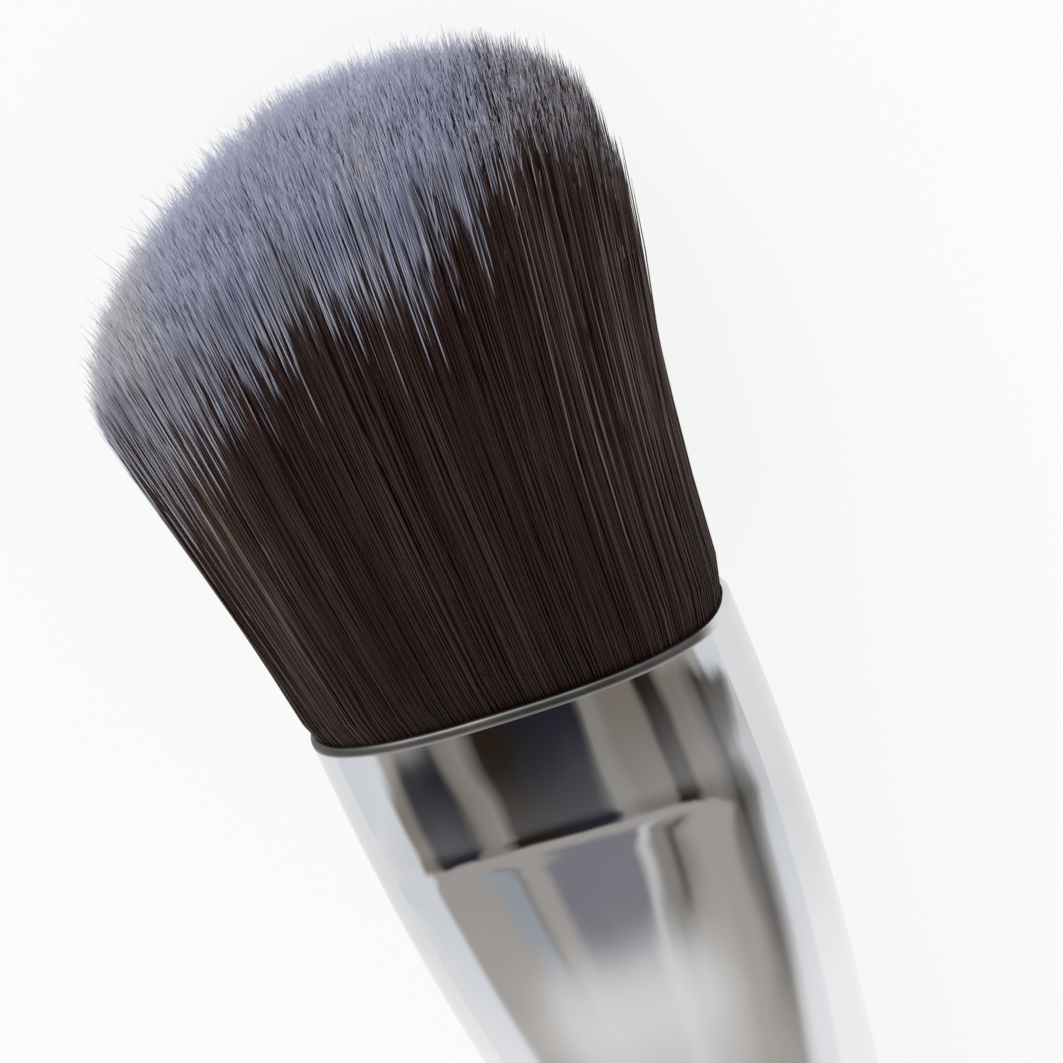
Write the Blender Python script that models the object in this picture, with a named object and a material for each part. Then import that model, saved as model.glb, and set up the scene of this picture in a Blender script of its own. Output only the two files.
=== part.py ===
"""Flat foundation brush lying on its wide face: a turned handle, a ferrule that runs from a flat oval
mouth to a round crimped sleeve, and a flared tuft of filaments cut to a slanted dome.

Metres, +Z up. The brush's own frame has its origin at the centre of the ferrule's mouth, +X towards
the tip, Y across the width and Z through the thickness.
"""

import math

import bmesh
import bpy
from mathutils import Matrix, Vector

# Ferrule mouth: a superellipse
MOUTH_HALF_WIDTH = 0.0110
MOUTH_HALF_THICKNESS = 0.0055
MOUTH_SQUARENESS = 2.6

# Ferrule tube
FERRULE_WALL = 0.0004
LIP_THICKNESS = 0.0006
LIP_LENGTH = 0.0010
LAND_LENGTH = 0.0076
LAND_BEND = 0.0012
RISE_LENGTH = 0.0260
TAPER_LENGTH = 0.0420
TAPER_ONSET = 1.35
SLEEVE_LENGTH = 0.0100
SLEEVE_RADIUS = 0.0070

# Crimp rings pressed into the sleeve
CRIMP_COUNT = 2
CRIMP_WIDTH = 0.0016
CRIMP_DEPTH = 0.0004
CRIMP_PITCH = 0.0034
CRIMP_INSET = 0.0030

# Handle
HANDLE_LENGTH = 0.1000
SHOULDER_RADIUS = 0.0072
SHOULDER_ROUND = 0.0004
BELLY_RADIUS = 0.0080
BELLY_PLACE = 0.0220
TAIL_RADIUS = 0.0046
TAIL_EXPONENT = 0.9
TAIL_ROUND = 0.0060
BUTT_FLAT_RADIUS = 0.0022
TENON_LENGTH = 0.0180
TENON_CHAMFER = 0.0008
FIT_CLEARANCE = 0.0003

# Adhesive ring in the tenon's groove
GLUE_GROOVE_LENGTH = 0.0030
GLUE_GROOVE_DEPTH = 0.0012
GLUE_GROOVE_INSET = 0.0030

# Filament tuft
TUFT_LENGTH = 0.0305
TUFT_HALF_WIDTH = 0.0140
TUFT_HALF_THICKNESS = 0.0085
CUT_SLANT = 0.195
DOME_DROP = 0.0130
DOME_EXPONENT = 1.84
DOME_ROOT = 2.9
FACE_DROP = 0.0030
FACE_EXPONENT = 2.2
POINT_LENGTH = 0.0030
REST_FLAT = 0.0005

# Bundles of the tuft, each on its slice of the resin-bound roots
BUNDLE_COUNT = 10
COLUMNS_PER_BUNDLE = 3
ROW_PITCH = 0.00064
ROOT_REACH_SHARE = 0.98
ROOT_DEPTH = 0.0080
ROOT_RECESS = 0.0008
STRAND_GAP = 0.0002

# Epoxy plug behind the roots
PLUG_LENGTH = 0.0060

# How finely the curves are faceted
FERRULE_SIDES = 48
HANDLE_SIDES = 40
TAPER_STEPS = 10
LAND_STEPS = 2
CRIMP_STEPS = 4
LIP_STEPS = 4
HANDLE_STEPS = 18
BUTT_STEPS = 5
PLUG_STEPS = 3
SHARP_EDGE = 30.0
SHARP_STRAND = 20.0

FERRULE_LENGTH = TAPER_LENGTH + SLEEVE_LENGTH


def clear_scene():
    for thing in list(bpy.data.objects):
        bpy.data.objects.remove(thing, do_unlink=True)


def material(name, colour, roughness, metallic=0.0, coat=0.0):
    """A Principled material; the colour is linear RGB."""
    made = bpy.data.materials.new(name)
    made.use_nodes = True
    shader = made.node_tree.nodes["Principled BSDF"]
    shader.inputs["Base Color"].default_value = (*colour, 1.0)
    shader.inputs["Roughness"].default_value = roughness
    shader.inputs["Metallic"].default_value = metallic
    shader.inputs["Coat Weight"].default_value = coat
    made.diffuse_color = (*colour, 1.0)
    return made


def finished(bm, name, parent, *materials, crease=SHARP_EDGE):
    """The object made from a bmesh, smooth but for edges sharper than the crease in degrees."""
    bmesh.ops.recalc_face_normals(bm, faces=bm.faces)
    mesh = bpy.data.meshes.new(name)
    bm.to_mesh(mesh)
    bm.free()
    for each in materials:
        mesh.materials.append(each)
    mesh.shade_smooth()
    mesh.set_sharp_from_angle(angle=math.radians(crease))
    made = bpy.data.objects.new(name, mesh)
    made.parent = parent
    bpy.context.scene.collection.objects.link(made)
    return made


def smoothstep(share):
    share = min(max(share, 0.0), 1.0)
    return share * share * (3.0 - 2.0 * share)


def mix(first, second, share):
    return first + (second - first) * share


def signed_power(value, exponent):
    return math.copysign(abs(value) ** exponent, value)


def oval_height(y, half_width, half_height, squareness):
    """Half the height of a superellipse at a distance y from its middle."""
    share = min(abs(y) / half_width, 1.0)
    return half_height * (1.0 - share**squareness) ** (1.0 / squareness)


def crimp_centres():
    rear = -FERRULE_LENGTH + CRIMP_INSET
    return [rear + index * CRIMP_PITCH for index in range(CRIMP_COUNT)]


def crimp_depth(x):
    """How far the nearest crimp presses the sleeve in at x."""
    for centre in crimp_centres():
        away = abs(x - centre) / (CRIMP_WIDTH / 2)
        if away < 1.0:
            return CRIMP_DEPTH * (1.0 + math.cos(math.pi * away)) / 2
    return 0.0


def width_share(x):
    """How far the width at x has gone from the mouth's to the sleeve's."""
    return smoothstep((min(max(-x, 0.0), TAPER_LENGTH) / TAPER_LENGTH) ** TAPER_ONSET)


def past_bend(distance):
    """The distance past a bend, nothing before it, with the corner rounded over LAND_BEND."""
    if distance < -LAND_BEND:
        return 0.0
    if distance < LAND_BEND:
        return (distance + LAND_BEND) ** 2 / (4.0 * LAND_BEND)
    return distance


def thickness_share(x):
    """The wide faces are pressed parallel over the land, then rise straight to the sleeve's height."""
    return (past_bend(-x - LAND_LENGTH) - past_bend(-x - LAND_LENGTH - RISE_LENGTH)) / RISE_LENGTH


def ferrule_section(x, inward=0.0):
    """(half width, half thickness, squareness) of the ferrule at x, offset inward by a wall."""
    pressed = crimp_depth(x) + inward
    return (
        mix(MOUTH_HALF_WIDTH, SLEEVE_RADIUS, width_share(x)) - pressed,
        mix(MOUTH_HALF_THICKNESS, SLEEVE_RADIUS, thickness_share(x)) - pressed,
        mix(MOUTH_SQUARENESS, 2.0, width_share(x)),
    )


def oval_ring(bm, x, section, sides):
    half_width, half_height, squareness = section
    ring = []
    for step in range(sides):
        angle = math.tau * step / sides
        y = half_width * signed_power(math.cos(angle), 2.0 / squareness)
        z = half_height * signed_power(math.sin(angle), 2.0 / squareness)
        ring.append(bm.verts.new((x, y, z)))
    return ring


def skin(bm, rings, closed=False):
    """Quads between rings of equal count. A closed skin joins the last ring to the first."""
    pairs = list(zip(rings, rings[1:]))
    if closed:
        pairs.append((rings[-1], rings[0]))
    for first, second in pairs:
        for here in range(len(first)):
            there = (here + 1) % len(first)
            bm.faces.new((first[here], first[there], second[there], second[here]))
    if not closed:
        bm.faces.new(rings[0])
        bm.faces.new(rings[-1])


def sleeve_stations():
    """Places along the sleeve, rear to front, that follow its crimps."""
    places = [-FERRULE_LENGTH]
    for centre in crimp_centres():
        for step in range(CRIMP_STEPS + 1):
            places.append(centre + CRIMP_WIDTH * (step / CRIMP_STEPS - 0.5))
    return places


def taper_stations(steps, front):
    """Places up the taper, rear to front: up to the bend behind the land, round it and to the front."""
    bend = [-LAND_LENGTH - LAND_BEND, -LAND_LENGTH, -LAND_LENGTH + LAND_BEND]
    rise = [mix(-TAPER_LENGTH, bend[0], step / steps) for step in range(steps)]
    land = [mix(bend[-1], front, (step + 1) / LAND_STEPS) for step in range(LAND_STEPS)]
    return rise + bend + land


def build_ferrule(parent, metal):
    """The drawn tube: its outer wall, the lip folded in at the mouth, and its inner wall."""
    lip_radius = LIP_THICKNESS / 2
    profile = [(x, 0.0) for x in sleeve_stations()]
    profile += [(x, 0.0) for x in taper_stations(TAPER_STEPS, -lip_radius)]
    for step in range(1, LIP_STEPS + 1):
        turn = math.pi * step / LIP_STEPS
        profile.append((-lip_radius * (1.0 - math.sin(turn)), lip_radius * (1.0 - math.cos(turn))))
    profile.append((-LIP_LENGTH, LIP_THICKNESS))
    fold_end = -LIP_LENGTH - (LIP_THICKNESS - FERRULE_WALL)
    profile += [(x, FERRULE_WALL) for x in reversed(taper_stations(TAPER_STEPS // 2, fold_end))]
    profile += [(x, FERRULE_WALL) for x in reversed(sleeve_stations())]
    bm = bmesh.new()
    rings = [oval_ring(bm, x, ferrule_section(x, inward), FERRULE_SIDES) for x, inward in profile]
    skin(bm, rings, closed=True)
    return finished(bm, "ferrule", parent, metal)


def tenon_radius(x):
    """The tenon's radius at x: the ferrule's bore, across its thickness, less the fit clearance."""
    half_width, half_height, _ = ferrule_section(x, FERRULE_WALL + FIT_CLEARANCE)
    return min(half_width, half_height)


def handle_radius(behind):
    """The handle's radius at a distance behind its shoulder: a swelling, then a long taper."""
    if behind < BELLY_PLACE:
        return mix(SHOULDER_RADIUS, BELLY_RADIUS, smoothstep(behind / BELLY_PLACE))
    share = (behind - BELLY_PLACE) / (HANDLE_LENGTH - TAIL_ROUND - BELLY_PLACE)
    fall = 1.0 - math.cos(math.pi / 2 * share)
    return mix(BELLY_RADIUS, TAIL_RADIUS, fall**TAIL_EXPONENT)


def glue_groove():
    """(rear, front, radius) of the groove round the tenon."""
    front = -FERRULE_LENGTH + TENON_LENGTH - GLUE_GROOVE_INSET
    return front - GLUE_GROOVE_LENGTH, front, tenon_radius(front) - GLUE_GROOVE_DEPTH


def handle_profile():
    """(x, radius) down the handle, from the tenon's end to the butt."""
    tip = -FERRULE_LENGTH + TENON_LENGTH
    groove_rear, groove_front, groove_radius = glue_groove()
    points = [
        (tip, tenon_radius(tip) - TENON_CHAMFER),
        (tip - TENON_CHAMFER, tenon_radius(tip)),
        (groove_front, tenon_radius(groove_front)),
        (groove_front, groove_radius),
        (groove_rear, groove_radius),
        (groove_rear, tenon_radius(groove_rear)),
    ]
    shoulder = -FERRULE_LENGTH - FIT_CLEARANCE
    points += [(x, tenon_radius(x)) for x in reversed(sleeve_stations()[1:])]
    points.append((shoulder, tenon_radius(shoulder)))
    points.append((shoulder, SHOULDER_RADIUS - SHOULDER_ROUND))
    for step in range(HANDLE_STEPS + 1):
        behind = mix(SHOULDER_ROUND, HANDLE_LENGTH - TAIL_ROUND, step / HANDLE_STEPS)
        points.append((shoulder - behind, handle_radius(behind)))
    for step in range(1, BUTT_STEPS + 1):
        turn = math.pi / 2 * step / BUTT_STEPS
        radius = mix(TAIL_RADIUS, BUTT_FLAT_RADIUS, 1.0 - math.cos(turn))
        points.append((shoulder - HANDLE_LENGTH + TAIL_ROUND * (1.0 - math.sin(turn)), radius))
    return points


def turned(bm, profile, sides):
    """Revolves (x, radius) points about the X axis, capped at both ends."""
    rings = [oval_ring(bm, x, (radius, radius, 2.0), sides) for x, radius in profile]
    skin(bm, rings)


def build_handle(parent, lacquer):
    bm = bmesh.new()
    turned(bm, handle_profile(), HANDLE_SIDES)
    return finished(bm, "handle", parent, lacquer)


def build_tenon_glue(parent, adhesive):
    """The ring of adhesive set in the tenon's groove, against the ferrule's bore."""
    rear, front, radius = glue_groove()
    inner = radius + FIT_CLEARANCE
    outer = tenon_radius(front)
    bm = bmesh.new()
    corners = [
        (rear + FIT_CLEARANCE, inner),
        (rear + FIT_CLEARANCE, outer),
        (front - FIT_CLEARANCE, outer),
        (front - FIT_CLEARANCE, inner),
    ]
    rings = [oval_ring(bm, x, (size, size, 2.0), HANDLE_SIDES) for x, size in corners]
    skin(bm, rings, closed=True)
    return finished(bm, "tenon_glue", parent, adhesive)


def build_root_plug(parent, resin):
    """The epoxy poured behind the roots, filling the ferrule's bore."""
    front = -ROOT_DEPTH - FIT_CLEARANCE
    bm = bmesh.new()
    rings = []
    for step in range(PLUG_STEPS + 1):
        x = front - PLUG_LENGTH * step / PLUG_STEPS
        section = ferrule_section(x, FERRULE_WALL + FIT_CLEARANCE)
        rings.append(oval_ring(bm, x, section, FERRULE_SIDES))
    skin(bm, rings)
    return finished(bm, "root_plug", parent, resin)


def root_section():
    """The outline of all the roots: the lip's opening less the fit clearance."""
    return ferrule_section(0.0, LIP_THICKNESS + FIT_CLEARANCE)


def root_reach():
    """How far the roots reach across the width, short of the outline's sharp ends."""
    return root_section()[0] * ROOT_REACH_SHARE


def cut_length(across, through):
    """Where the slanted, domed cut ends a filament; across and through run from -1 to 1."""
    dome = 1.0 - max(1.0 - abs(across) ** DOME_EXPONENT, 0.0) ** (1.0 / DOME_ROOT)
    slant = CUT_SLANT * TUFT_HALF_WIDTH * across
    return TUFT_LENGTH - slant - DOME_DROP * dome - FACE_DROP * abs(through) ** FACE_EXPONENT


def flared(point, middle, widening):
    """A root's point carried out to the tuft's widest, where its bundle meets the next ones."""
    y = (middle + (point.y - middle) * widening) * TUFT_HALF_WIDTH / root_reach()
    z = point.z * TUFT_HALF_THICKNESS / root_section()[1]
    return y, max(z, REST_FLAT - TUFT_HALF_THICKNESS)


def root_grid(bm, left, right):
    """The front face of one slice of roots, in cells between the superellipse's two sides."""
    half_width, half_height, squareness = root_section()
    middle = oval_height((left + right) / 2, half_width, half_height, squareness)
    rows = max(2, round(2.0 * middle / ROW_PITCH))
    grid = bmesh.ops.create_grid(bm, x_segments=COLUMNS_PER_BUNDLE, y_segments=rows, size=1.0)
    for vert in grid["verts"]:
        y = mix(left, right, (vert.co.x + 1.0) / 2)
        height = oval_height(y, half_width, half_height, squareness)
        vert.co = Vector((-ROOT_RECESS, y, vert.co.y * height))
    return list(bm.faces)


def thicken_roots(bm, cells):
    """Extrudes the cells back through the roots' depth, and closes the rear with one face."""
    grown = bmesh.ops.extrude_face_region(bm, geom=cells, use_keep_orig=True)["geom"]
    rear = [item for item in grown if isinstance(item, bmesh.types.BMFace)]
    moved = {vert for face in rear for vert in face.verts}
    bmesh.ops.translate(bm, verts=list(moved), vec=(ROOT_RECESS - ROOT_DEPTH, 0.0, 0.0))
    bmesh.ops.dissolve_faces(bm, faces=rear, use_verts=True)


def grow_strands(bm, cells, middle, widening):
    """Draws a tapered strand out of each cell, along the tuft's flare to the domed cut."""
    half_width, half_height, _ = root_section()
    bmesh.ops.inset_individual(bm, faces=cells, thickness=STRAND_GAP / 2)
    strands = bmesh.ops.extrude_discrete_faces(bm, faces=cells)["faces"]
    for end in strands:
        centre = end.calc_center_median()
        length = cut_length(centre.y / half_width, centre.z / half_height)
        for vert in end.verts:
            vert.co.y, vert.co.z = flared(vert.co, middle, widening)
            vert.co.x = length - POINT_LENGTH
    points = bmesh.ops.poke(bm, faces=strands)
    for vert in points["verts"]:
        vert.co.x += POINT_LENGTH
    for face in points["faces"]:
        face.material_index = 1


def build_bundles(parent, filament, tip):
    """The tuft, as side-by-side bundles that share the width of the mouth."""
    pitch = 2.0 * root_reach() / BUNDLE_COUNT
    slice_width = pitch - FIT_CLEARANCE
    for index in range(BUNDLE_COUNT):
        middle = -root_reach() + pitch * (index + 0.5)
        bm = bmesh.new()
        cells = root_grid(bm, middle - slice_width / 2, middle + slice_width / 2)
        thicken_roots(bm, cells)
        grow_strands(bm, cells, middle, pitch / slice_width)
        name = f"bristle_bundle_{index + 1:02d}"
        finished(bm, name, parent, filament, tip, crease=SHARP_STRAND)


def lay_down(parent):
    """Rests the brush on the tuft's flat and the handle's belly, centred over the origin."""
    belly_x = -FERRULE_LENGTH - FIT_CLEARANCE - BELLY_PLACE
    flat_x = cut_length(0.0, 1.0) - POINT_LENGTH
    flat_height = TUFT_HALF_THICKNESS - REST_FLAT
    tilt = math.atan2(BELLY_RADIUS - flat_height, flat_x - belly_x)
    turn = Matrix.Rotation(tilt, 4, "Y")
    lowest = (turn @ Vector((belly_x, 0.0, -BELLY_RADIUS))).z
    parent.matrix_world = Matrix.Translation((0.0, 0.0, -lowest)) @ turn
    bpy.context.view_layer.update()
    reach = []
    for thing in parent.children:
        reach += [(thing.matrix_world @ vert.co).x for vert in thing.data.vertices]
    parent.location.x = -(min(reach) + max(reach)) / 2


def build_brush():
    clear_scene()
    brush = bpy.data.objects.new("brush", None)
    bpy.context.scene.collection.objects.link(brush)
    chrome = material("polished_metal", (0.78, 0.78, 0.80), 0.08, metallic=1.0)
    lacquer = material("black_lacquer", (0.012, 0.011, 0.012), 0.22, coat=0.6)
    adhesive = material("adhesive", (0.72, 0.66, 0.50), 0.45)
    resin = material("epoxy_resin", (0.55, 0.42, 0.22), 0.30)
    filament = material("brown_filament", (0.030, 0.018, 0.014), 0.45)
    tip = material("pale_filament_tip", (0.27, 0.30, 0.40), 0.50)
    build_handle(brush, lacquer)
    build_ferrule(brush, chrome)
    build_root_plug(brush, resin)
    build_tenon_glue(brush, adhesive)
    build_bundles(brush, filament, tip)
    lay_down(brush)


build_brush()
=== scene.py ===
import math

import bpy
import numpy as np
from mathutils import Matrix, Vector


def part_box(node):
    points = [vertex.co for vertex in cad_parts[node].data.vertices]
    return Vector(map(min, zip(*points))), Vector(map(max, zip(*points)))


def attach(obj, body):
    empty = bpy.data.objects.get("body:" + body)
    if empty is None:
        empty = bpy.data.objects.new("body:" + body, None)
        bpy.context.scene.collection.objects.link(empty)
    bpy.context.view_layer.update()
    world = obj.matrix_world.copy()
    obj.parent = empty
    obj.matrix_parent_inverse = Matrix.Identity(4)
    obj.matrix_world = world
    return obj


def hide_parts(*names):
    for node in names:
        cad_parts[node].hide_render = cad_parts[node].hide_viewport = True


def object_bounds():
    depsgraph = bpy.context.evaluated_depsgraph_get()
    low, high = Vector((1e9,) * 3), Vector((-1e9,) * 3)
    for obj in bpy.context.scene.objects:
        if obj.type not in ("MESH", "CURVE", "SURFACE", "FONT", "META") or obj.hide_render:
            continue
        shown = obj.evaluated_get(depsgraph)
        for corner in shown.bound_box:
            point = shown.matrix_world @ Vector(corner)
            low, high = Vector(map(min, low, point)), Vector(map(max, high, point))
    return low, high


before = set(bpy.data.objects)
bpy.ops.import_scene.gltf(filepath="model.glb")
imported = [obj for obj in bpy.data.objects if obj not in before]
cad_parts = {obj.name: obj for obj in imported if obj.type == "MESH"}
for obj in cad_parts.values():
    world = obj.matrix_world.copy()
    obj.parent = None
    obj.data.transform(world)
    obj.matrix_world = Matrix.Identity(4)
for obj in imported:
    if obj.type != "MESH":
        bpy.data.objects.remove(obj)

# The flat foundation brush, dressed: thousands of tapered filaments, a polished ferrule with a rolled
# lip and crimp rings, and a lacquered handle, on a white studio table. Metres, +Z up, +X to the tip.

CAD_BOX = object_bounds()
FERRULE_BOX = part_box("ferrule")
TABLE_HEIGHT = CAD_BOX[0].z

# Middle of the ferrule's mouth: the origin of the brush's own frame
MOUTH = Vector((FERRULE_BOX[1].x, 0.0, (FERRULE_BOX[0].z + FERRULE_BOX[1].z) / 2))

# Ferrule
MOUTH_HALF_WIDTH = 0.0110
MOUTH_HALF_THICKNESS = 0.0055
MOUTH_SQUARENESS = 2.6
FERRULE_WALL = 0.0004
LIP_THICKNESS = 0.0006
LIP_LENGTH = 0.0010
LAND_LENGTH = 0.0076
LAND_BEND = 0.0012
RISE_LENGTH = 0.0260
TAPER_LENGTH = 0.0420
TAPER_ONSET = 1.35
SLEEVE_LENGTH = 0.0100
SLEEVE_RADIUS = 0.0070
FERRULE_LENGTH = TAPER_LENGTH + SLEEVE_LENGTH
CRIMP_COUNT = 2
CRIMP_WIDTH = 0.0016
CRIMP_DEPTH = 0.0004
CRIMP_PITCH = 0.0034
CRIMP_INSET = 0.0030
FERRULE_SIDES = 256
FERRULE_STEPS = 210
LIP_STEPS = 13
BORE_STEPS = 60

# Handle
HANDLE_LENGTH = 0.1000
SHOULDER_RADIUS = 0.0072
SHOULDER_ROUND = 0.0004
BELLY_RADIUS = 0.0080
BELLY_PLACE = 0.0220
TAIL_RADIUS = 0.0046
TAIL_EXPONENT = 0.9
TAIL_ROUND = 0.0060
BUTT_FLAT_RADIUS = 0.0022
FIT_CLEARANCE = 0.0003
TENON_LENGTH = 0.0180
TENON_CHAMFER_LENGTH = 0.0008
TENON_CHAMFER_DEPTH = 0.0007
GLUE_FILM = 0.0005
HANDLE_SIDES = 160
SHOULDER_STEPS = 9
HANDLE_STEPS = 120
TAIL_STEPS = 25
SHARP_EDGE = math.radians(40.0)

# Tuft. A pair holds the value at the short edge and the one at the long edge.
TUFT_LENGTH = 0.0308
TUFT_HALF_WIDTH = 0.0140
# Sideways travel of the outermost filaments for each metre of length
SPLAY = (0.196, 0.168)
TIP_HALF_THICKNESS = 0.0052
FACE_BULGE = 0.0015
CUT_SLANT = 0.212
DOME_DROP = (0.0101, 0.0100)
DOME_EXPONENT = (1.18, 1.62)
DOME_ROOT = (2.7, 2.9)
FACE_DROP = 0.0040
FACE_EXPONENT = 2.2
BUNDLE_COUNT = 10

# Filaments
FILAMENT_COUNT = 34000
FILAMENT_RADIUS = 0.000045
FILAMENT_TIP_RADIUS = 0.000006
FILAMENT_TAPER = 0.0048
TAPER_EXPONENT = 0.72
FILAMENT_SIDES = 3
ROOT_DEPTH = 0.0015
FILAMENT_RINGS = (0.0, 0.05, 0.13, 0.30, 0.48, 0.66, 0.84, 0.95, 1.0)
CUT_STEPS = 14
TABLE_CLEARANCE = 0.00002
# Area of the mouth's oval, in products of its two half measures
OVAL_AREA = 3.6
ROOT_JITTER = 0.22
ROOT_CLEARANCE = 0.00005

# How the filaments stray from their even places, lengths and lines
FILAMENTS_PER_CLUMP = 15
CLUMP_PULL = (0.08, 0.34)
DRIFT = 0.00016
DRIFT_SCALE = 0.0026
SCATTER = 0.00014
EDGE_CALM = 0.6
ASTRAY_SHARE = 0.20
ASTRAY_SPREAD = 0.00072
CROSSING_SHARE = 0.16
CROSSING_SPREAD = 0.0016
SPREAD_LIMIT = 2.0
LENGTH_SPREAD = 0.00020
LENGTH_DRIFT = 0.00006
LENGTH_DRIFT_SCALE = 0.0014
FRAY = 0.00095
FACE_FRAY = 0.00080
LONG_EDGE_FRAY = 0.00080
LONG_EDGE_FRAY_ZONE = (-0.45, -0.85)
FRAY_LIMIT = 0.005
# A bend goes across and through the tuft, for each of a filament's bent shapes
BEND_SHAPES = 4
BEND_SPREAD = 0.00025
BEND_FREEDOM = 4.0
BEND_LIMIT = 4.0
BEND_EDGE_CALM = 0.93
CROSSING_BEND = 1.8
# Weights of a filament's double wave, triple wave and hooked tip beside its single bow
WAVE_WEIGHT = 0.6
CURL_WEIGHT = 0.8
HOOK_WEIGHT = 1.5
HOOK_EXPONENT = 7
# The tuft swells past the lip as it leaves the mouth, and is drawn in a little half way up
SWELL = 0.00050
SWELL_START = 0.045
SWELL_RUN = 0.07
SWELL_EXPONENT = 6
WAIST = 0.00022

# Length of the pale tips by place across the tuft, from the long edge to the short one: partly the dye,
# partly painted light, longer on the lamp's side and shorter in the shade
PALE_TIPS = [
    (-1.0, 0.0006),
    (-0.82, 0.0014),
    (-0.60, 0.0031),
    (-0.30, 0.0050),
    (-0.12, 0.0048),
    (0.05, 0.0043),
    (0.3, 0.0042),
    (0.5, 0.0050),
    (0.8, 0.0050),
    (0.92, 0.0047),
    (1.0, 0.0034),
]
# How unevenly they are dyed, by clump and by filament, and more so at both edges
CLUMP_UNEVEN = 0.06
UNEVEN = 0.27
UNEVEN_LONG_EDGE = 0.33
UNEVEN_LONG_ZONE = (-0.3, -0.9)
UNEVEN_SHORT_EDGE = 0.30
UNEVEN_SHORT_ZONE = (0.5, 0.9)
UNEVEN_RANGE = (0.10, 2.6)
# Filaments whose tips took little of the pale dye, and more at the long edge whose pale tips are
# shortened, some to nothing, as painted shade
MISSED_SHARE = 0.08
SHADED_LONG_SHARE = 0.50
SHADED_LONG_ZONE = (-0.40, -0.82)
SHORT_PALE_RANGE = (0.05, 0.45)
BARE_ZONE = (-0.55, -0.85)
BARE_SHADE = 0.50
# Share of the pale length on the filaments that cross their neighbours
CROSSING_RANGE = (0.8, 1.36)
# The map's V falls from 1 at a tip to MAP_FLOOR over this many pale lengths
MAP_LENGTHS = 4.0
MAP_FLOOR = 0.005
SHORTEST_PALE = 0.0001

# Shade of each filament, 0 dark to 1 light: its own share, its clump's and its patch's
OWN_SHADE = 0.22
CLUMP_SHADE = 0.34
PATCH_SHADE = 0.44
PATCH_SCALE = 0.0050
PATCH_MIDDLE = 0.5
PATCH_SPREAD = 0.22
# Towards both edges the shades are mixed anew over a range of their own, and lifted as painted rim light
SHORT_SIDE = (0.22, 0.77)
SHORT_SIDE_RANGE = (0.20, 0.80)
SHORT_SIDE_MIX = 0.6
SHORT_SIDE_RIM_LIGHT = 0.32
LONG_SIDE = (-0.52, -0.92)
LONG_SIDE_RANGE = (0.10, 1.0)
LONG_RIM = (-0.64, -0.94)
LONG_RIM_PAINTED_LIGHT = 0.22
SHADE_RANGE = (0.002, 0.998)

# Waves in a smooth random field, and their lengths in shares of its scale
NOISE_WAVES = 24
NOISE_LENGTHS = (0.6, 1.8)

# View: how the brush lies in the 1063 pixel frame
FRAME_PIXELS = 1063
SENSOR_WIDTH = 36.0
VIEW_TILT = math.radians(22.0)
VIEW_LEAN = math.radians(23.67)
VIEW_ROLL = math.radians(15.6)
VIEW_DISTANCE = 0.230
PIXELS_PER_METRE = 20540.0
MOUTH_PIXEL = (516.4, 659.25)
NEAR_CLIP = 0.01

# Table and lamp; the lamp's place is in the camera's axes
TABLE_HALF_WIDTH = 3.0
TABLE_GREY = 0.93
TABLE_GLOW = 0.86
KEY_STRENGTH = 1.3
KEY_SPREAD = math.radians(34.0)
KEY_PLACE = (-0.62, 0.52, 0.60)

SEED = 20261


def mix(first, second, share):
    return first + (second - first) * share


def smoothstep(share):
    share = np.clip(share, 0.0, 1.0)
    return share * share * (3.0 - 2.0 * share)


def zone(value, ends):
    """0 before the zone's first end, 1 past its second, smooth between; it may run downwards."""
    return smoothstep((value - ends[0]) / (ends[1] - ends[0]))


def signed_power(value, exponent):
    return np.sign(value) * np.abs(value) ** exponent


def by_edge(across, pair):
    """The value of a short edge and long edge pair on each filament's side of the tuft."""
    return np.where(across < 0.0, pair[1], pair[0])


def mesh_object(name, points, quads, material, extra_faces=()):
    """A smooth mesh object in the row frame from the brush frame's points, quads and other faces."""
    mesh = bpy.data.meshes.new(name)
    corners = np.concatenate([quads.ravel(), *(np.ravel(face) for face in extra_faces)])
    sizes = [np.full(len(quads), quads.shape[1], np.int32)]
    sizes += [np.full(len(face), face.shape[1], np.int32) for face in extra_faces]
    sizes = np.concatenate(sizes)
    starts = np.concatenate([[0], np.cumsum(sizes)[:-1]])
    mesh.vertices.add(len(points))
    mesh.vertices.foreach_set("co", (points + np.array(MOUTH)).astype(np.float32).ravel())
    mesh.loops.add(len(corners))
    mesh.loops.foreach_set("vertex_index", corners.astype(np.int32))
    mesh.polygons.add(len(sizes))
    mesh.polygons.foreach_set("loop_start", starts.astype(np.int32))
    mesh.polygons.foreach_set("loop_total", sizes)
    mesh.polygons.foreach_set("use_smooth", np.ones(len(sizes), bool))
    mesh.update(calc_edges=True)
    mesh.validate()
    mesh.materials.append(material)
    made = bpy.data.objects.new(name, mesh)
    bpy.context.scene.collection.objects.link(made)
    return made


def ring_skin(rows, sides, closed):
    """Quads between rings of points stored one after another."""
    row = np.arange(rows if closed else rows - 1)[:, None]
    side = np.arange(sides)[None, :]
    after = (row + 1) % rows
    beside = (side + 1) % sides
    quads = [row * sides + side, row * sides + beside, after * sides + beside, after * sides + side]
    return np.stack(quads, axis=-1).reshape(-1, 4)


# Ferrule and handle


def crimp_depth(x):
    pressed = 0.0
    for index in range(CRIMP_COUNT):
        centre = -FERRULE_LENGTH + CRIMP_INSET + index * CRIMP_PITCH
        away = np.minimum(np.abs(x - centre) / (CRIMP_WIDTH / 2), 1.0)
        pressed = pressed + CRIMP_DEPTH * (1.0 + np.cos(np.pi * away)) / 2
    return pressed


def width_share(x):
    """How far the width at x has gone from the mouth's to the sleeve's."""
    return smoothstep((np.clip(-x, 0.0, TAPER_LENGTH) / TAPER_LENGTH) ** TAPER_ONSET)


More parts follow.
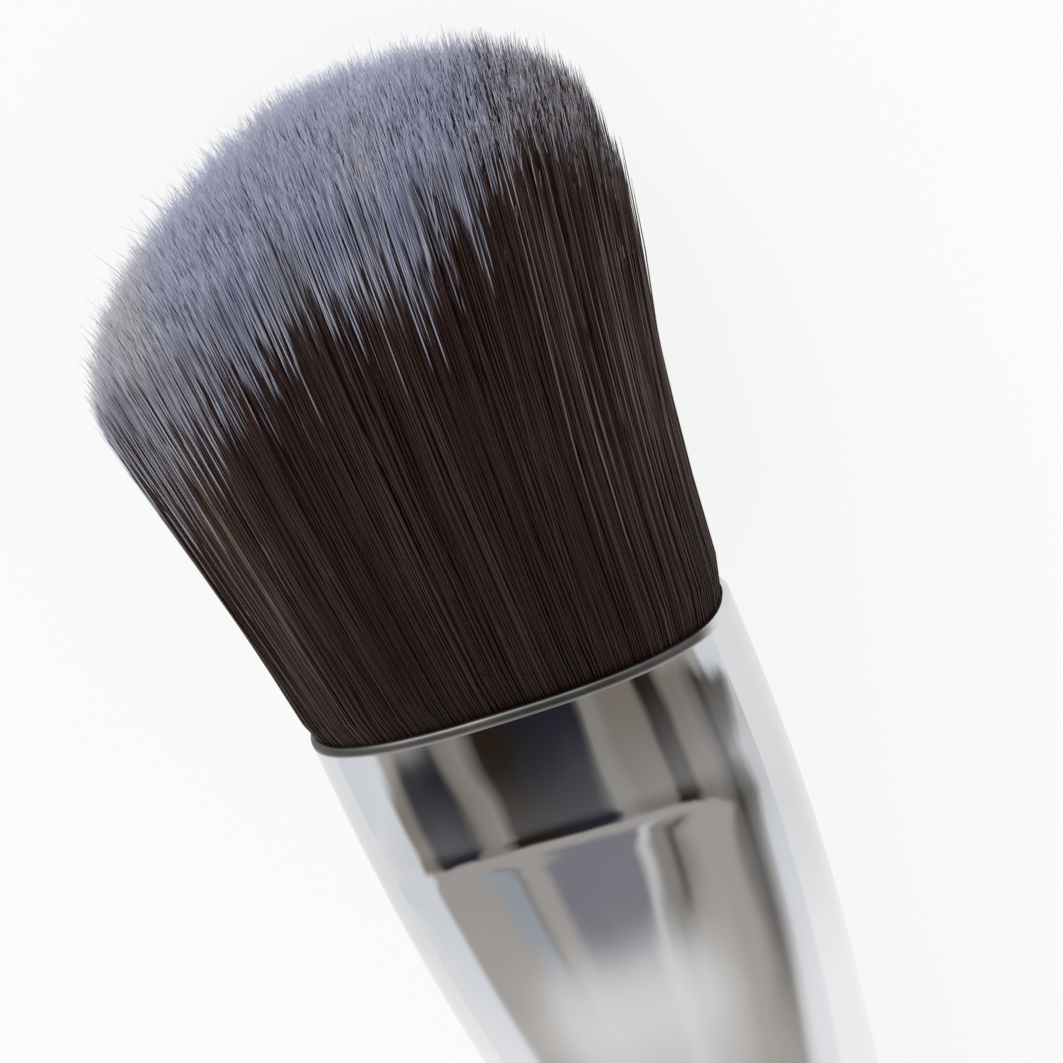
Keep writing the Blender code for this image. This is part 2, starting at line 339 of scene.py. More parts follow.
def past_bend(distance):
    """The distance past a bend, nothing before it, with the corner rounded over LAND_BEND."""
    rounded = (distance + LAND_BEND) ** 2 / (4.0 * LAND_BEND)
    return np.where(distance < -LAND_BEND, 0.0, np.where(distance < LAND_BEND, rounded, distance))


def thickness_share(x):
    """The wide faces are pressed parallel over the land, then rise straight to the sleeve's height."""
    return (past_bend(-x - LAND_LENGTH) - past_bend(-x - LAND_LENGTH - RISE_LENGTH)) / RISE_LENGTH


def ferrule_points(x, angle, inward):
    """Points of the ferrule's surface at stations x and angles round it, offset inward by a wall."""
    share = width_share(x)
    pressed = crimp_depth(x) + inward
    half_width = mix(MOUTH_HALF_WIDTH, SLEEVE_RADIUS, share) - pressed
    half_height = mix(MOUTH_HALF_THICKNESS, SLEEVE_RADIUS, thickness_share(x)) - pressed
    exponent = 2.0 / mix(MOUTH_SQUARENESS, 2.0, share)
    y = half_width * signed_power(np.cos(angle), exponent)
    z = half_height * signed_power(np.sin(angle), exponent)
    return np.stack(np.broadcast_arrays(x, y, z), axis=-1)


def build_ferrule(metal):
    """The drawn tube: outer skin, rolled lip and bore, joined round the sleeve's end."""
    lip_radius = LIP_THICKNESS / 2
    bore_start = -LIP_LENGTH - (LIP_THICKNESS - FERRULE_WALL)
    outer = np.linspace(-FERRULE_LENGTH, -lip_radius, FERRULE_STEPS)
    turn = np.linspace(0.0, math.pi, LIP_STEPS)[1:]
    inner = np.linspace(bore_start, -FERRULE_LENGTH, BORE_STEPS)
    x = np.concatenate([outer, -lip_radius * (1.0 - np.sin(turn)), [-LIP_LENGTH], inner])
    inward = np.concatenate([
        np.zeros(len(outer)),
        lip_radius * (1.0 - np.cos(turn)),
        [LIP_THICKNESS],
        np.full(len(inner), FERRULE_WALL),
    ])
    angle = math.tau * (np.arange(FERRULE_SIDES) + 0.5) / FERRULE_SIDES
    points = ferrule_points(x[:, None], angle[None, :], inward[:, None]).reshape(-1, 3)
    return mesh_object("ferrule_tube", points, ring_skin(len(x), FERRULE_SIDES, True)[:, ::-1], metal)


def handle_radius(behind):
    """Radius of the handle at a distance behind its shoulder."""
    swell = mix(SHOULDER_RADIUS, BELLY_RADIUS, smoothstep(behind / BELLY_PLACE))
    share = np.clip((behind - BELLY_PLACE) / (HANDLE_LENGTH - TAIL_ROUND - BELLY_PLACE), 0.0, 1.0)
    fall = 1.0 - np.cos(np.pi / 2 * share)
    return np.where(behind < BELLY_PLACE, swell, mix(BELLY_RADIUS, TAIL_RADIUS, fall**TAIL_EXPONENT))


def build_handle(lacquer):
    """The turned and lacquered handle behind the ferrule, with its tenon inside the sleeve."""
    shoulder = -FERRULE_LENGTH - FIT_CLEARANCE
    tenon_end = -FERRULE_LENGTH + TENON_LENGTH
    tenon_radius = SLEEVE_RADIUS - FERRULE_WALL - FIT_CLEARANCE - GLUE_FILM
    tenon_x = [tenon_end, tenon_end, tenon_end - TENON_CHAMFER_LENGTH, shoulder]
    tenon_r = [0.0, tenon_radius - TENON_CHAMFER_DEPTH, tenon_radius, tenon_radius]
    turn = np.linspace(0.0, math.pi / 2, SHOULDER_STEPS)
    shoulder_x = shoulder - SHOULDER_ROUND * (1.0 - np.cos(turn))
    shoulder_r = SHOULDER_RADIUS - SHOULDER_ROUND * (1.0 - np.sin(turn))
    behind = np.linspace(SHOULDER_ROUND, HANDLE_LENGTH - TAIL_ROUND, HANDLE_STEPS)[1:]
    tail_turn = np.linspace(0.0, math.pi / 2, TAIL_STEPS)[1:]
    tail_x = shoulder - HANDLE_LENGTH + TAIL_ROUND * (1.0 - np.sin(tail_turn))
    tail_r = mix(TAIL_RADIUS, BUTT_FLAT_RADIUS, 1.0 - np.cos(tail_turn))
    x = np.concatenate([tenon_x, shoulder_x, shoulder - behind, tail_x, [tail_x[-1]]])[:, None]
    radius = np.concatenate([tenon_r, shoulder_r, handle_radius(behind), tail_r, [0.0]])[:, None]
    angle = math.tau * np.arange(HANDLE_SIDES)[None, :] / HANDLE_SIDES
    rings = np.stack(np.broadcast_arrays(x, radius * np.cos(angle), radius * np.sin(angle)), axis=-1)
    skin = ring_skin(len(x), HANDLE_SIDES, False)
    made = mesh_object("handle_turned", rings.reshape(-1, 3), skin, lacquer)
    made.data.set_sharp_from_angle(angle=SHARP_EDGE)
    return made


# Filaments


def cut_length(across, through):
    """Where the slanted, domed cut ends a filament; across and through run from -1 to 1."""
    inside = np.maximum(1.0 - np.abs(across) ** by_edge(across, DOME_EXPONENT), 0.0)
    dome = by_edge(across, DOME_DROP) * (1.0 - inside ** (1.0 / by_edge(across, DOME_ROOT)))
    slant = CUT_SLANT * TUFT_HALF_WIDTH * across
    return TUFT_LENGTH - slant - dome - FACE_DROP * np.abs(through) ** FACE_EXPONENT


def root_places(draw):
    """Jittered hexagonal places in the mouth's oval, as shares of its half width and thickness."""
    half_width = MOUTH_HALF_WIDTH - LIP_THICKNESS - ROOT_CLEARANCE
    half_height = MOUTH_HALF_THICKNESS - LIP_THICKNESS - ROOT_CLEARANCE
    area = OVAL_AREA * half_width * half_height
    pitch = math.sqrt(area / FILAMENT_COUNT * 2.0 / math.sqrt(3.0))
    rows = np.arange(-half_height, half_height, pitch * math.sqrt(3.0) / 2)
    columns = np.arange(-half_width, half_width, pitch)
    y, z = np.meshgrid(columns, rows)
    y = y + (np.arange(len(rows)) % 2)[:, None] * pitch / 2
    y = y + draw.normal(0.0, ROOT_JITTER, y.shape) * pitch
    z = z + draw.normal(0.0, ROOT_JITTER, z.shape) * pitch
    across = (y / half_width).ravel()
    through = (z / half_height).ravel()
    inside = np.abs(across) ** MOUTH_SQUARENESS + np.abs(through) ** MOUTH_SQUARENESS < 1.0
    return across[inside], through[inside], half_width, half_height


def smooth_noise(y, z, scale, draw):
    """A smooth random field of the given scale over the plane, as a sum of waves."""
    total = np.zeros_like(y)
    for _ in range(NOISE_WAVES):
        heading = draw.uniform(0.0, math.tau)
        length = scale * draw.uniform(*NOISE_LENGTHS)
        phase = draw.uniform(0.0, math.tau)
        total += np.sin((y * math.cos(heading) + z * math.sin(heading)) * math.tau / length + phase)
    return total / math.sqrt(NOISE_WAVES / 2)


def clump_pull(y, z, count, draw, block=2000):
    """For each filament the way to the middle of its clump, and the clump's number."""
    chosen = draw.choice(len(y), count, replace=False)
    centres = np.stack([y[chosen], z[chosen]], axis=1)
    places = np.stack([y, z], axis=1)
    nearest = np.empty(len(y), int)
    for start in range(0, len(y), block):
        some = places[start : start + block]
        away = ((some[:, None, :] - centres[None]) ** 2).sum(axis=2)
        nearest[start : start + block] = away.argmin(axis=1)
    return centres[nearest] - places, nearest


def tip_shift(tip_y, tip_z, across, edge, draw):
    """Sideways shift of every tip by its clump, by drift, by scatter and by straying or crossing."""
    count = len(tip_y)
    pull, clump = clump_pull(tip_y, tip_z, count // FILAMENTS_PER_CLUMP, draw)
    shift = pull * draw.uniform(*CLUMP_PULL, count)[:, None]
    shift[:, 0] += DRIFT * smooth_noise(tip_y, tip_z, DRIFT_SCALE, draw)
    shift[:, 1] += DRIFT * smooth_noise(tip_y, tip_z, DRIFT_SCALE, draw)
    shift += draw.normal(0.0, SCATTER, shift.shape) * (1.0 - EDGE_CALM * edge**3)[:, None]
    astray = (draw.random(count) < ASTRAY_SHARE) * (1.0 - edge**4)
    strayed = draw.normal(0.0, 1.0, shift.shape).clip(-SPREAD_LIMIT, SPREAD_LIMIT)
    shift += ASTRAY_SPREAD * strayed * astray[:, None]
    crossing = (draw.random(count) < CROSSING_SHARE) * (1.0 - np.abs(across)) ** 0.5
    crossed = draw.normal(0.0, 1.0, count).clip(-SPREAD_LIMIT, SPREAD_LIMIT)
    shift[:, 0] += CROSSING_SPREAD * crossed * crossing
    return shift, clump, crossing


def cut_unevenly(length, through, landed, tip_y, tip_z, draw):
    """The cut lengths, less what each filament falls short by."""
    frayed = FRAY + FACE_FRAY * np.abs(through) ** 3 + LONG_EDGE_FRAY * zone(landed, LONG_EDGE_FRAY_ZONE)
    short = draw.exponential(1.0, len(length)) * frayed
    length = length + (draw.normal(0.0, LENGTH_SPREAD, len(length)) - short.clip(0.0, FRAY_LIMIT))
    return length + LENGTH_DRIFT * smooth_noise(tip_y, tip_z, LENGTH_DRIFT_SCALE, draw)


def filament_paths(draw):
    """Every filament in the brush's own frame: its ends, its bends and its places."""
    across, through, half_width, half_height = root_places(draw)
    count = len(across)
    root = np.stack([np.full(count, -ROOT_DEPTH), across * half_width, through * half_height], axis=1)
    splay = by_edge(across, SPLAY)
    length = np.full(count, TUFT_LENGTH)
    for _ in range(CUT_STEPS):
        tip_y = across * (half_width + splay * length)
        landed = np.clip(tip_y / TUFT_HALF_WIDTH, -1.0, 1.0)
        length = (length + cut_length(landed, through)) / 2
    tip_z = through * TIP_HALF_THICKNESS
    edge = np.abs(across) ** MOUTH_SQUARENESS + np.abs(through) ** MOUTH_SQUARENESS
    edge = np.minimum(edge, 1.0) ** (1.0 / MOUTH_SQUARENESS)
    shift, clump, crossing = tip_shift(tip_y, tip_z, across, edge, draw)
    aim = np.stack([length, tip_y + shift[:, 0], tip_z + shift[:, 1]], axis=1) - root
    landed = np.clip((tip_y + shift[:, 0]) / TUFT_HALF_WIDTH, -1.0, 1.0)
    length = cut_length(landed, np.clip((tip_z + shift[:, 1]) / TIP_HALF_THICKNESS, -1.0, 1.0))
    length = cut_unevenly(length, through, landed, tip_y, tip_z, draw)
    tip = root + aim * ((length + ROOT_DEPTH) / aim[:, 0])[:, None]
    bend = draw.standard_t(BEND_FREEDOM, (count, 2 * BEND_SHAPES)).clip(-BEND_LIMIT, BEND_LIMIT)
    bend = BEND_SPREAD * (1.0 - BEND_EDGE_CALM * edge**3)[:, None] * bend
    bend[:, 0::2] *= (1.0 + CROSSING_BEND * crossing)[:, None]
    ends = {"root": root, "tip": tip, "bend": bend, "across": across, "through": through}
    return ends, clump, crossing, landed


def bent_path(root, tip, bend, across, through, share):
    """Points along every filament at the given shares of its length."""
    path = root[:, None, :] + (tip - root)[:, None, :] * share[None, :, None]
    shapes = (
        np.sin(np.pi * share),
        np.sin(math.tau * share) * WAVE_WEIGHT,
        np.sin(3.0 * np.pi * share) * CURL_WEIGHT,
        share**HOOK_EXPONENT * HOOK_WEIGHT,
    )
    for index, shape in enumerate(shapes):
        path[:, :, 1] += bend[:, 2 * index, None] * shape[None, :]
        path[:, :, 2] += bend[:, 2 * index + 1, None] * shape[None, :]
    swell = SWELL * smoothstep((share - SWELL_START) / SWELL_RUN) * (1.0 - share) ** SWELL_EXPONENT
    swell = swell - WAIST * np.sin(np.pi * share)
    path[:, :, 1] += swell[None, :] * signed_power(across, 2.0)[:, None]
    path[:, :, 2] += swell[None, :] * signed_power(through, 2.0)[:, None]
    path[:, :, 2] += FACE_BULGE * np.sin(np.pi * share)[None, :] * through[:, None]
    return path


def filament_mesh(name, ends, twist, shade, pale, material):
    """One piece: many tapered tubes, each closed at both ends, mapped by shade and nearness to the tip."""
    count = len(twist)
    share = np.array(FILAMENT_RINGS)
    rings = len(share)
    path = bent_path(**ends, share=share)
    along = ends["tip"] - ends["root"]
    reach = np.linalg.norm(along, axis=1, keepdims=True)
    along /= reach
    side = np.cross(along, np.array([0.0, 0.0, 1.0]))
    side /= np.linalg.norm(side, axis=1, keepdims=True)
    up = np.cross(side, along)
    to_tip = (1.0 - share)[None, :] * reach
    taper = np.clip(to_tip / FILAMENT_TAPER, 0.0, 1.0) ** TAPER_EXPONENT
    radius = mix(FILAMENT_TIP_RADIUS, FILAMENT_RADIUS, taper)
    floor = TABLE_HEIGHT - MOUTH.z + TABLE_CLEARANCE
    path[:, :, 2] = np.maximum(path[:, :, 2], floor + radius)
    angle = twist[:, None] + math.tau * np.arange(FILAMENT_SIDES)[None, :] / FILAMENT_SIDES
    spokes = np.cos(angle)[:, :, None] * side[:, None, :] + np.sin(angle)[:, :, None] * up[:, None, :]
    points = path[:, :, None, :] + radius[:, :, None, None] * spokes[:, None, :, :]
    per = rings * FILAMENT_SIDES
    offsets = (np.arange(count) * per)[:, None, None]
    quads = (ring_skin(rings, FILAMENT_SIDES, False)[None] + offsets).reshape(-1, 4)
    cap = np.arange(FILAMENT_SIDES)
    caps = (np.stack([cap[::-1], cap + per - FILAMENT_SIDES])[None] + offsets).reshape(-1, FILAMENT_SIDES)
    made = mesh_object(name, points.reshape(-1, 3), quads, material, extra_faces=(caps,))
    near_tip = to_tip / np.maximum(pale, SHORTEST_PALE)[:, None] / MAP_LENGTHS
    near_tip = 1.0 - np.clip(near_tip, 0.0, 1.0 - MAP_FLOOR)
    place = np.empty((count, rings, FILAMENT_SIDES, 2))
    place[..., 0] = shade[:, None, None]
    place[..., 1] = np.where(pale[:, None] > 0.0, near_tip, MAP_FLOOR)[:, :, None]
    corner_points = np.empty(len(made.data.loops), np.int32)
    made.data.loops.foreach_get("vertex_index", corner_points)
    uv = made.data.uv_layers.new(name="OFBake")
    uv.data.foreach_set("uv", place.reshape(-1, 2)[corner_points].astype(np.float32).ravel())
    return made


def filament_shades(tip, clump, landed, draw):
    """Shade of every filament, more mixed towards the two edges of the tuft and lighter there as painted
    rim light.
    """
    count = len(landed)
    clumps = draw.random(clump.max() + 1)
    patch = PATCH_MIDDLE + PATCH_SPREAD * smooth_noise(tip[:, 1], tip[:, 2], PATCH_SCALE, draw)
    shade = OWN_SHADE * draw.random(count) + CLUMP_SHADE * clumps[clump] + PATCH_SHADE * patch
    # The lift at both edges is painted rim light
    short_side = zone(landed, SHORT_SIDE)
    mixed = mix(*SHORT_SIDE_RANGE, draw.random(count))
    shade = mix(shade, mixed, SHORT_SIDE_MIX * short_side) + SHORT_SIDE_RIM_LIGHT * short_side
    mixed = mix(*LONG_SIDE_RANGE, draw.random(count))
    shade = mix(shade, mixed, zone(landed, LONG_SIDE))
    shade += LONG_RIM_PAINTED_LIGHT * zone(landed, LONG_RIM)
    return np.clip(shade, *SHADE_RANGE)


def pale_lengths(shade, clump, crossing, landed, draw):
    """Length of every filament's pale tip: uneven, and short or missing at the long edge, partly dye and
    partly painted shade.
    """
    count = len(landed)
    clumps = draw.normal(0.0, CLUMP_UNEVEN, clump.max() + 1)
    uneven = UNEVEN + UNEVEN_LONG_EDGE * zone(landed, UNEVEN_LONG_ZONE)
    uneven += UNEVEN_SHORT_EDGE * zone(landed, UNEVEN_SHORT_ZONE)
    share = np.clip(1.0 + clumps[clump] + uneven * draw.normal(0.0, 1.0, count), *UNEVEN_RANGE)
    # More short pale tips towards the long edge: partly the dye, partly painted shade
    short_pale = draw.random(count) < MISSED_SHARE + SHADED_LONG_SHARE * zone(landed, SHADED_LONG_ZONE)
    share[short_pale] = draw.uniform(*SHORT_PALE_RANGE, short_pale.sum())
    bare = draw.random(count) < zone(landed, BARE_ZONE)
    share[short_pale & bare & (shade < BARE_SHADE)] = 0.0
    crosses = crossing > 0.0
    share[crosses] = draw.uniform(*CROSSING_RANGE, crosses.sum())
    places, lengths = zip(*PALE_TIPS)
    return np.interp(landed, places, lengths) * share


def build_tuft(filament):
    """The loose filaments, in one piece for each bundle of the solids."""
    draw = np.random.default_rng(SEED)
    ends, clump, crossing, landed = filament_paths(draw)
    across = ends["across"]
    twist = draw.uniform(0.0, math.tau, len(across))
    shade = filament_shades(ends["tip"], clump, landed, draw)
    pale = pale_lengths(shade, clump, crossing, landed, draw)
    edges = np.linspace(-1.0, 1.0, BUNDLE_COUNT + 1)
    edges[0] = -np.inf
    edges[-1] = np.inf
    pieces = []
    for index in range(BUNDLE_COUNT):
        mine = (across >= edges[index]) & (across < edges[index + 1])
        own = {key: value[mine] for key, value in ends.items()}
        name = f"filaments_{index + 1:02d}"
        made = filament_mesh(name, own, twist[mine], shade[mine], pale[mine], filament)
        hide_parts(f"bristle_bundle_{index + 1:02d}")
        pieces.append(made)
    return pieces


# Materials


# Steps of the map's V up a filament: brown to pale, greyer at first, then a painted glow of backlight at
# the very tip
PALE_START = (0.72, 0.785)
PALE_GREYER = (0.90, 0.79)
TIP_PAINTED_GLOW = (0.90, 1.0)
TIP_PAINTED_GLOW_FULL = (0.975, 1.0)
# Painted shade: the filaments are darker and more alike near the ferrule, standing in for the shade among
# the dense roots
ROOT_PAINTED_SHADE_REACH = 0.0130
ROOT_PAINTED_SHADE = 0.60

# Where the metal's finish, its painted lip shade and its painted paler rear change, as distances behind
# the mouth
REAR_PAINTED_PALER = (LAND_LENGTH + 0.002, LAND_LENGTH + 0.014)
REAR_ROUGHER = (0.007, 0.024)
LIP_DULLED_AND_SHADED = (0.00056, 0.00034)
# The lip's painted shade stops below the tuft's long edge, where the lip keeps a bright reflection; these
# are places across the brush
LIP_SHADE_END = (-0.0107, -0.0096)
# The rising face mirrors as if it leaned forward a little more
LEAN_START = (LAND_LENGTH + 0.0012, LAND_LENGTH + 0.0112)
LEAN_END = (LAND_LENGTH + 0.026, LAND_LENGTH + 0.018)
FACE_LEAN = 0.045


class Graph:
    """Short calls for building a node tree."""

    def __init__(self, tree):
        self.tree = tree
        self.tree.nodes.clear()

    def node(self, kind, **settings):
        made = self.tree.nodes.new(kind)
        for key, value in settings.items():
            setattr(made, key, value)
        return made

    def link(self, source, target):
        self.tree.links.new(source, target)

    def math(self, operation, *values):
        made = self.node("ShaderNodeMath", operation=operation)
        for socket, value in zip(made.inputs, values):
            if isinstance(value, (int, float)):
                socket.default_value = value
            else:
                self.link(value, socket)
        return made.outputs[0]

    def ramp(self, factor, stops, interpolation="LINEAR"):
        made = self.node("ShaderNodeValToRGB")
        made.color_ramp.interpolation = interpolation
        elements = made.color_ramp.elements
        while len(elements) < len(stops):
            elements.new(1.0)
        for element, (place, colour) in zip(elements, stops):
            element.position = place
            element.color = (*colour, 1.0)
        self.link(factor, made.inputs[0])
        return made.outputs[0]

    def step(self, value, start, end):
        """0 before start, 1 past end, and smooth between them."""
        made = self.node("ShaderNodeMapRange", interpolation_type="SMOOTHSTEP")
        made.inputs["From Min"].default_value = start
        made.inputs["From Max"].default_value = end
        self.link(value, made.inputs["Value"])
        return made.outputs[0]

    def blend(self, factor, first, second, mode="MIX"):
        made = self.node("ShaderNodeMix", data_type="RGBA", blend_type=mode)
        for socket, value in ((made.inputs[0], factor), (made.inputs[6], first), (made.inputs[7], second)):
            if isinstance(value, (int, float)):
                socket.default_value = value
            elif isinstance(value, tuple):
                socket.default_value = (*value, 1.0)
            else:
                self.link(value, socket)
        return made.outputs[2]


def new_material(name):
    made = bpy.data.materials.new(name)
    made.use_nodes = True
    graph = Graph(made.node_tree)
    shader = graph.node("ShaderNodeBsdfPrincipled")
    output = graph.node("ShaderNodeOutputMaterial")
    graph.link(shader.outputs[0], output.inputs[0])
    return made, graph, shader


def filament_material():
    """Dark brown filament, pale blue-grey tip, painted glow at the very tip. The map's V runs up to the
    tip, U is the shade.
    """
    made, graph, shader = new_material("brown_filament")
    uv = graph.node("ShaderNodeUVMap", uv_map="OFBake")
    split = graph.node("ShaderNodeSeparateXYZ")
    graph.link(uv.outputs[0], split.inputs[0])
    shade, place = split.outputs[0], split.outputs[1]
    # The lightest browns are reached by the lifted edge filaments, which carry painted rim light
    brown = graph.ramp(shade, [
        (0.12, (0.016, 0.0045, 0.0025)),
        (0.45, (0.033, 0.0105, 0.0070)),
        (0.72, (0.056, 0.025, 0.019)),
        (0.86, (0.100, 0.058, 0.047)),
        (1.0, (0.21, 0.155, 0.135)),
    ])
    pale = graph.ramp(shade, [
        (0.12, (0.31, 0.335, 0.50)),
        (0.45, (0.37, 0.39, 0.555)),
        (0.72, (0.42, 0.425, 0.53)),
        (1.0, (0.50, 0.485, 0.53)),
    ])
    spot = graph.node("ShaderNodeSeparateXYZ")
    graph.link(graph.node("ShaderNodeTexCoord").outputs["Object"], spot.inputs[0])
    # Painted shade towards the ferrule's mouth
    root_shade_share = graph.step(spot.outputs[0], MOUTH.x + ROOT_PAINTED_SHADE_REACH, MOUTH.x)
    brown = graph.blend(graph.math("MULTIPLY", root_shade_share, ROOT_PAINTED_SHADE), brown, (0.018, 0.0062, 0.0040))
    change = graph.step(place, *PALE_START)
    greyer = graph.math("MULTIPLY", graph.step(place, *PALE_GREYER), 0.45)
    colour = graph.blend(change, brown, graph.blend(greyer, pale, (0.47, 0.48, 0.55)))
    # Painted glow: the tip's last stretch is lightened towards a pale colour, standing in for backlight
    # through the thin tips
    tip_glow_share = graph.math("MULTIPLY", graph.step(place, *TIP_PAINTED_GLOW), 0.38)
    tip_glow_share = graph.math("MULTIPLY_ADD", graph.step(place, *TIP_PAINTED_GLOW_FULL), 0.42, tip_glow_share)
    glow = graph.ramp(shade, [(0.6, (0.70, 0.73, 0.88)), (1.0, (0.85, 0.79, 0.76))])
    tipped = graph.blend(tip_glow_share, colour, glow)
    graph.link(tipped, shader.inputs["Base Color"])
    graph.link(graph.math("MULTIPLY_ADD", change, -0.14, 0.50), shader.inputs["Roughness"])
    shader.inputs["Specular IOR Level"].default_value = 0.32
    return made


def chrome_material():
    """Bright plated metal with faint haze; rougher and painted darker on the lip, painted paler and softer
    towards the rear.
    """
    made, graph, shader = new_material("polished_metal")
    place = graph.node("ShaderNodeTexCoord").outputs["Object"]
    haze = graph.node("ShaderNodeTexNoise")
    haze.inputs["Scale"].default_value = 180.0
    haze.inputs["Detail"].default_value = 5.0
    graph.link(place, haze.inputs["Vector"])
    split = graph.node("ShaderNodeSeparateXYZ")
    graph.link(place, split.inputs[0])

    def behind_mouth(stretch):
        return graph.step(split.outputs[0], MOUTH.x - stretch[0], MOUTH.x - stretch[1])

    front = graph.ramp(haze.outputs[0], [(0.3, (0.67, 0.68, 0.695)), (0.7, (0.73, 0.74, 0.755))])
    # Painted reflection: the rear metal is paler, so that it mirrors brighter
    rear = graph.ramp(haze.outputs[0], [(0.3, (0.84, 0.84, 0.845)), (0.7, (0.90, 0.90, 0.905))])
    # Painted shade: the lip's metal is painted nearly black, darkening what it mirrors
    lip_shade_colour = graph.ramp(haze.outputs[0], [(0.35, (0.06, 0.058, 0.055)), (0.7, (0.17, 0.165, 0.16))])
    colour = graph.blend(behind_mouth(REAR_PAINTED_PALER), front, rear)
    lip_shaded_part = graph.step(split.outputs[1], *LIP_SHADE_END)
    lip = graph.math("MULTIPLY", behind_mouth(LIP_DULLED_AND_SHADED), lip_shaded_part)
    graph.link(graph.blend(lip, colour, lip_shade_colour), shader.inputs["Base Color"])
    rough = graph.node("ShaderNodeMapRange")
    rough.inputs["From Min"].default_value = 0.35
    rough.inputs["From Max"].default_value = 0.75
    rough.inputs["To Min"].default_value = 0.020
    rough.inputs["To Max"].default_value = 0.045
    graph.link(haze.outputs[0], rough.inputs["Value"])
    rougher = graph.math("MULTIPLY_ADD", behind_mouth(REAR_ROUGHER), 0.12, rough.outputs[0])
    graph.link(graph.math("MULTIPLY_ADD", lip, 0.34, rougher), shader.inputs["Roughness"])
    lean = graph.math("MULTIPLY", behind_mouth(LEAN_START), FACE_LEAN)
    lean = graph.math("MULTIPLY", lean, behind_mouth(LEAN_END))
    forward = graph.node("ShaderNodeCombineXYZ")
    graph.link(lean, forward.inputs[0])
    leaned = graph.node("ShaderNodeVectorMath", operation="ADD")
    graph.link(graph.node("ShaderNodeNewGeometry").outputs["Normal"], leaned.inputs[0])
    graph.link(forward.outputs[0], leaned.inputs[1])
    even = graph.node("ShaderNodeVectorMath", operation="NORMALIZE")
    graph.link(leaned.outputs[0], even.inputs[0])
    graph.link(even.outputs[0], shader.inputs["Normal"])
    shader.inputs["Metallic"].default_value = 1.0
    return made


def lacquer_material():
    """Black lacquer over turned wood: deep, glossy, with a faint long grain and fine dust."""
    made, graph, shader = new_material("black_lacquer")
    place = graph.node("ShaderNodeTexCoord").outputs["Object"]
    stretch = graph.node("ShaderNodeMapping")
    stretch.inputs["Scale"].default_value = (60.0, 900.0, 900.0)
    graph.link(place, stretch.inputs["Vector"])
    grain = graph.node("ShaderNodeTexNoise")
    grain.inputs["Scale"].default_value = 1.0
    grain.inputs["Detail"].default_value = 6.0
    graph.link(stretch.outputs[0], grain.inputs["Vector"])
    colour = graph.ramp(grain.outputs[0], [(0.35, (0.006, 0.0055, 0.006)), (0.7, (0.018, 0.016, 0.016))])
    graph.link(colour, shader.inputs["Base Color"])
    rough = graph.node("ShaderNodeMapRange")
    rough.inputs["To Min"].default_value = 0.16
    rough.inputs["To Max"].default_value = 0.30
    graph.link(grain.outputs[0], rough.inputs["Value"])
    graph.link(rough.outputs[0], shader.inputs["Roughness"])
    bump = graph.node("ShaderNodeBump")
    bump.inputs["Strength"].default_value = 0.04
    bump.inputs["Distance"].default_value = 0.0002
    graph.link(grain.outputs[0], bump.inputs["Height"])
    graph.link(bump.outputs[0], shader.inputs["Normal"])
    shader.inputs["Coat Weight"].default_value = 0.9
    shader.inputs["Coat Roughness"].default_value = 0.05
    return made


def cured_material(name, dark, light, roughness):
    """Cured resin or glue: cloudy, with small bubbles."""
    made, graph, shader = new_material(name)
    place = graph.node("ShaderNodeTexCoord").outputs["Object"]
    cloud = graph.node("ShaderNodeTexNoise")
    cloud.inputs["Scale"].default_value = 700.0
    graph.link(place, cloud.inputs["Vector"])
    colour = graph.ramp(cloud.outputs[0], [(0.3, dark), (0.7, light)])
    graph.link(colour, shader.inputs["Base Color"])
    bump = graph.node("ShaderNodeBump")
    bump.inputs["Strength"].default_value = 0.3
    bump.inputs["Distance"].default_value = 0.0001
    graph.link(cloud.outputs[0], bump.inputs["Height"])
    graph.link(bump.outputs[0], shader.inputs["Normal"])
    shader.inputs["Roughness"].default_value = roughness
    return made


def set_material(thing, material):
    thing.data.materials.clear()
    thing.data.materials.append(material)


# Studio: what the metal mirrors, by the angle round the brush in degrees

WHITE = (1.0, 1.0, 1.0)
PALE = (0.84, 0.855, 0.89)
GLARE = (0.90, 0.893, 0.886)
MIST = (0.68, 0.67, 0.665)
CREAM = (0.46, 0.43, 0.405)
TAN = (0.25, 0.215, 0.185)
TAUPE = (0.31, 0.29, 0.265)
LILAC = (0.245, 0.245, 0.275)
STEEL = (0.40, 0.425, 0.47)
OLIVE = (0.075, 0.064, 0.048)
NAVY = (0.020, 0.0215, 0.031)
DARK = (0.020, 0.012, 0.007)
DIM = (0.13, 0.12, 0.115)

# The window bars that the pressed land behind the mouth mirrors
LAND_BARS = [
    (-96, MIST), (-90, TAUPE), (-82, OLIVE), (-54, OLIVE), (-47, DARK), (-42, DIM), (-34, TAN), (-24, TAN),
    (-19.5, DARK), (-12, DARK), (-9.5, TAN), (1, TAN), (4.5, TAUPE), (7, TAUPE), (9, NAVY), (16, NAVY),
    (18, DARK), (21.5, DARK), (23.5, TAUPE), (29, TAN), (31.5, NAVY), (46, NAVY), (49, TAN),
    (55, TAN), (59, PALE), (90, WHITE),
]
# The paler ones that the rising face behind it mirrors
RISE_BARS = [
    (-90, CREAM), (-54, CREAM), (-49, TAN), (-38, TAUPE), (-28, CREAM), (-18, CREAM), (-14, TAUPE),
    (-12, DIM), (-10.5, DIM), (-8, TAUPE), (-3, TAUPE), (-0.5, MIST), (1.5, MIST), (4, LILAC), (18, LILAC),
    (20.5, CREAM), (25, CREAM), (27.5, TAUPE), (31, STEEL), (35, STEEL), (39, CREAM), (60, CREAM),
    (90, MIST),
]
# What the land mirrors between its window bars and its white end
FLANK_BARS = [(-64, PALE), (-54, MIST), (-48, TAUPE), (-36, CREAM), (40, CREAM), (56, PALE)]
